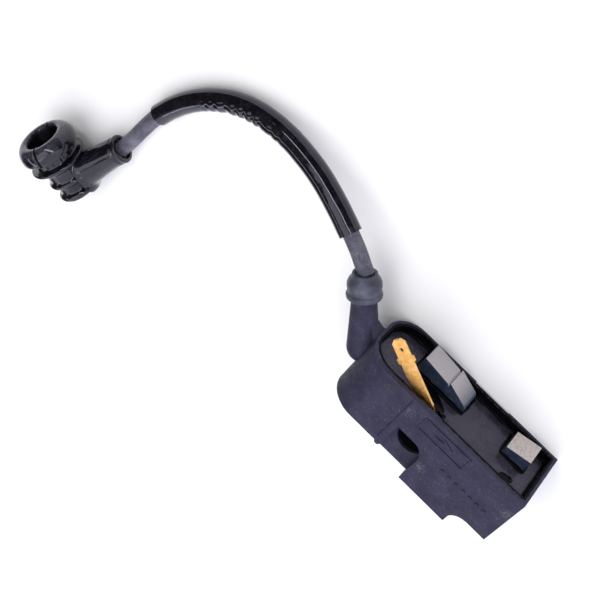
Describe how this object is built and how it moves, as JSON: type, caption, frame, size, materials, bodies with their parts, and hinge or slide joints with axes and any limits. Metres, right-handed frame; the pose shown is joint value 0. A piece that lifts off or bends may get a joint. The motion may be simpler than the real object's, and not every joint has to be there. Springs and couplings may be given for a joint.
{
  "type": "ignition coil",
  "caption": "Flywheel-magneto ignition coil for a small engine: potted module on a laminated core, with a spark plug lead, boot and right-angle plug cap",
  "frame": {"origin": "Centre of the module's footprint on the floor, with the engine side of the module lying on z = 0; the lead and the plug cap are left out of that footprint.", "axes": "+X runs from the lead end of the module to its square end, its longest extent; +Y faces the flywheel, where the pole faces and the potted open rim are; +Z is the axis of the fixing screw, from the engine side to the screw pocket, its shortest extent."},
  "size_m": [0.1877, 0.0817, 0.0255],
  "materials": {
    "housing_plastic": "matte",
    "epoxy": "glossy",
    "core_steel": "ground",
    "rivet_steel": "satin",
    "bobbin_plastic": "satin",
    "copper_wire": "enamelled copper",
    "ferrite": "matte",
    "board_laminate": "satin",
    "component_body": "satin",
    "brass": "satin",
    "boot_rubber": "matte",
    "lead_rubber": "matte",
    "sleeve_rubber": "semi-gloss",
    "cap_rubber": "glossy",
    "spring_steel": "bright"
  },
  "bodies": {
    "module": {"housing": "housing_plastic", "potting_compound": "epoxy", "laminated_core": "core_steel", "core_rivet_main": "rivet_steel", "core_rivet_trailing": "rivet_steel", "charge_coil_bobbin": "bobbin_plastic", "charge_coil_winding": "copper_wire", "transformer_core": "ferrite", "primary_bobbin": "bobbin_plastic", "primary_winding": "copper_wire", "secondary_bobbin": "bobbin_plastic", "secondary_winding": "copper_wire", "circuit_board": "board_laminate", "storage_capacitor": "component_body", "thyristor": "component_body", "charge_diode": "component_body", "damper_diode": "component_body", "gate_resistor": "component_body", "kill_terminal": "brass", "earth_strap": "copper_wire", "ht_output_wire": "copper_wire", "ht_terminal": "brass", "tower_boot": "boot_rubber", "ht_lead_tower_end": "lead_rubber", "ht_lead": "lead_rubber", "protective_sleeve": "sleeve_rubber", "ht_lead_cap_end": "lead_rubber"},
    "cap": {"plug_cap": "cap_rubber", "cap_terminal_pin": "brass", "cap_contact_spring": "spring_steel"}
  },
  "joints": [
    {"name": "plug_cap_swivel", "type": "hinge", "parent": "module", "child": "cap", "pos_m": [-0.1296, -0.0417, 0.00905], "axis": [0.4022, 0.9004, -0.1661], "range_deg": [-15, 150]}
  ]
}
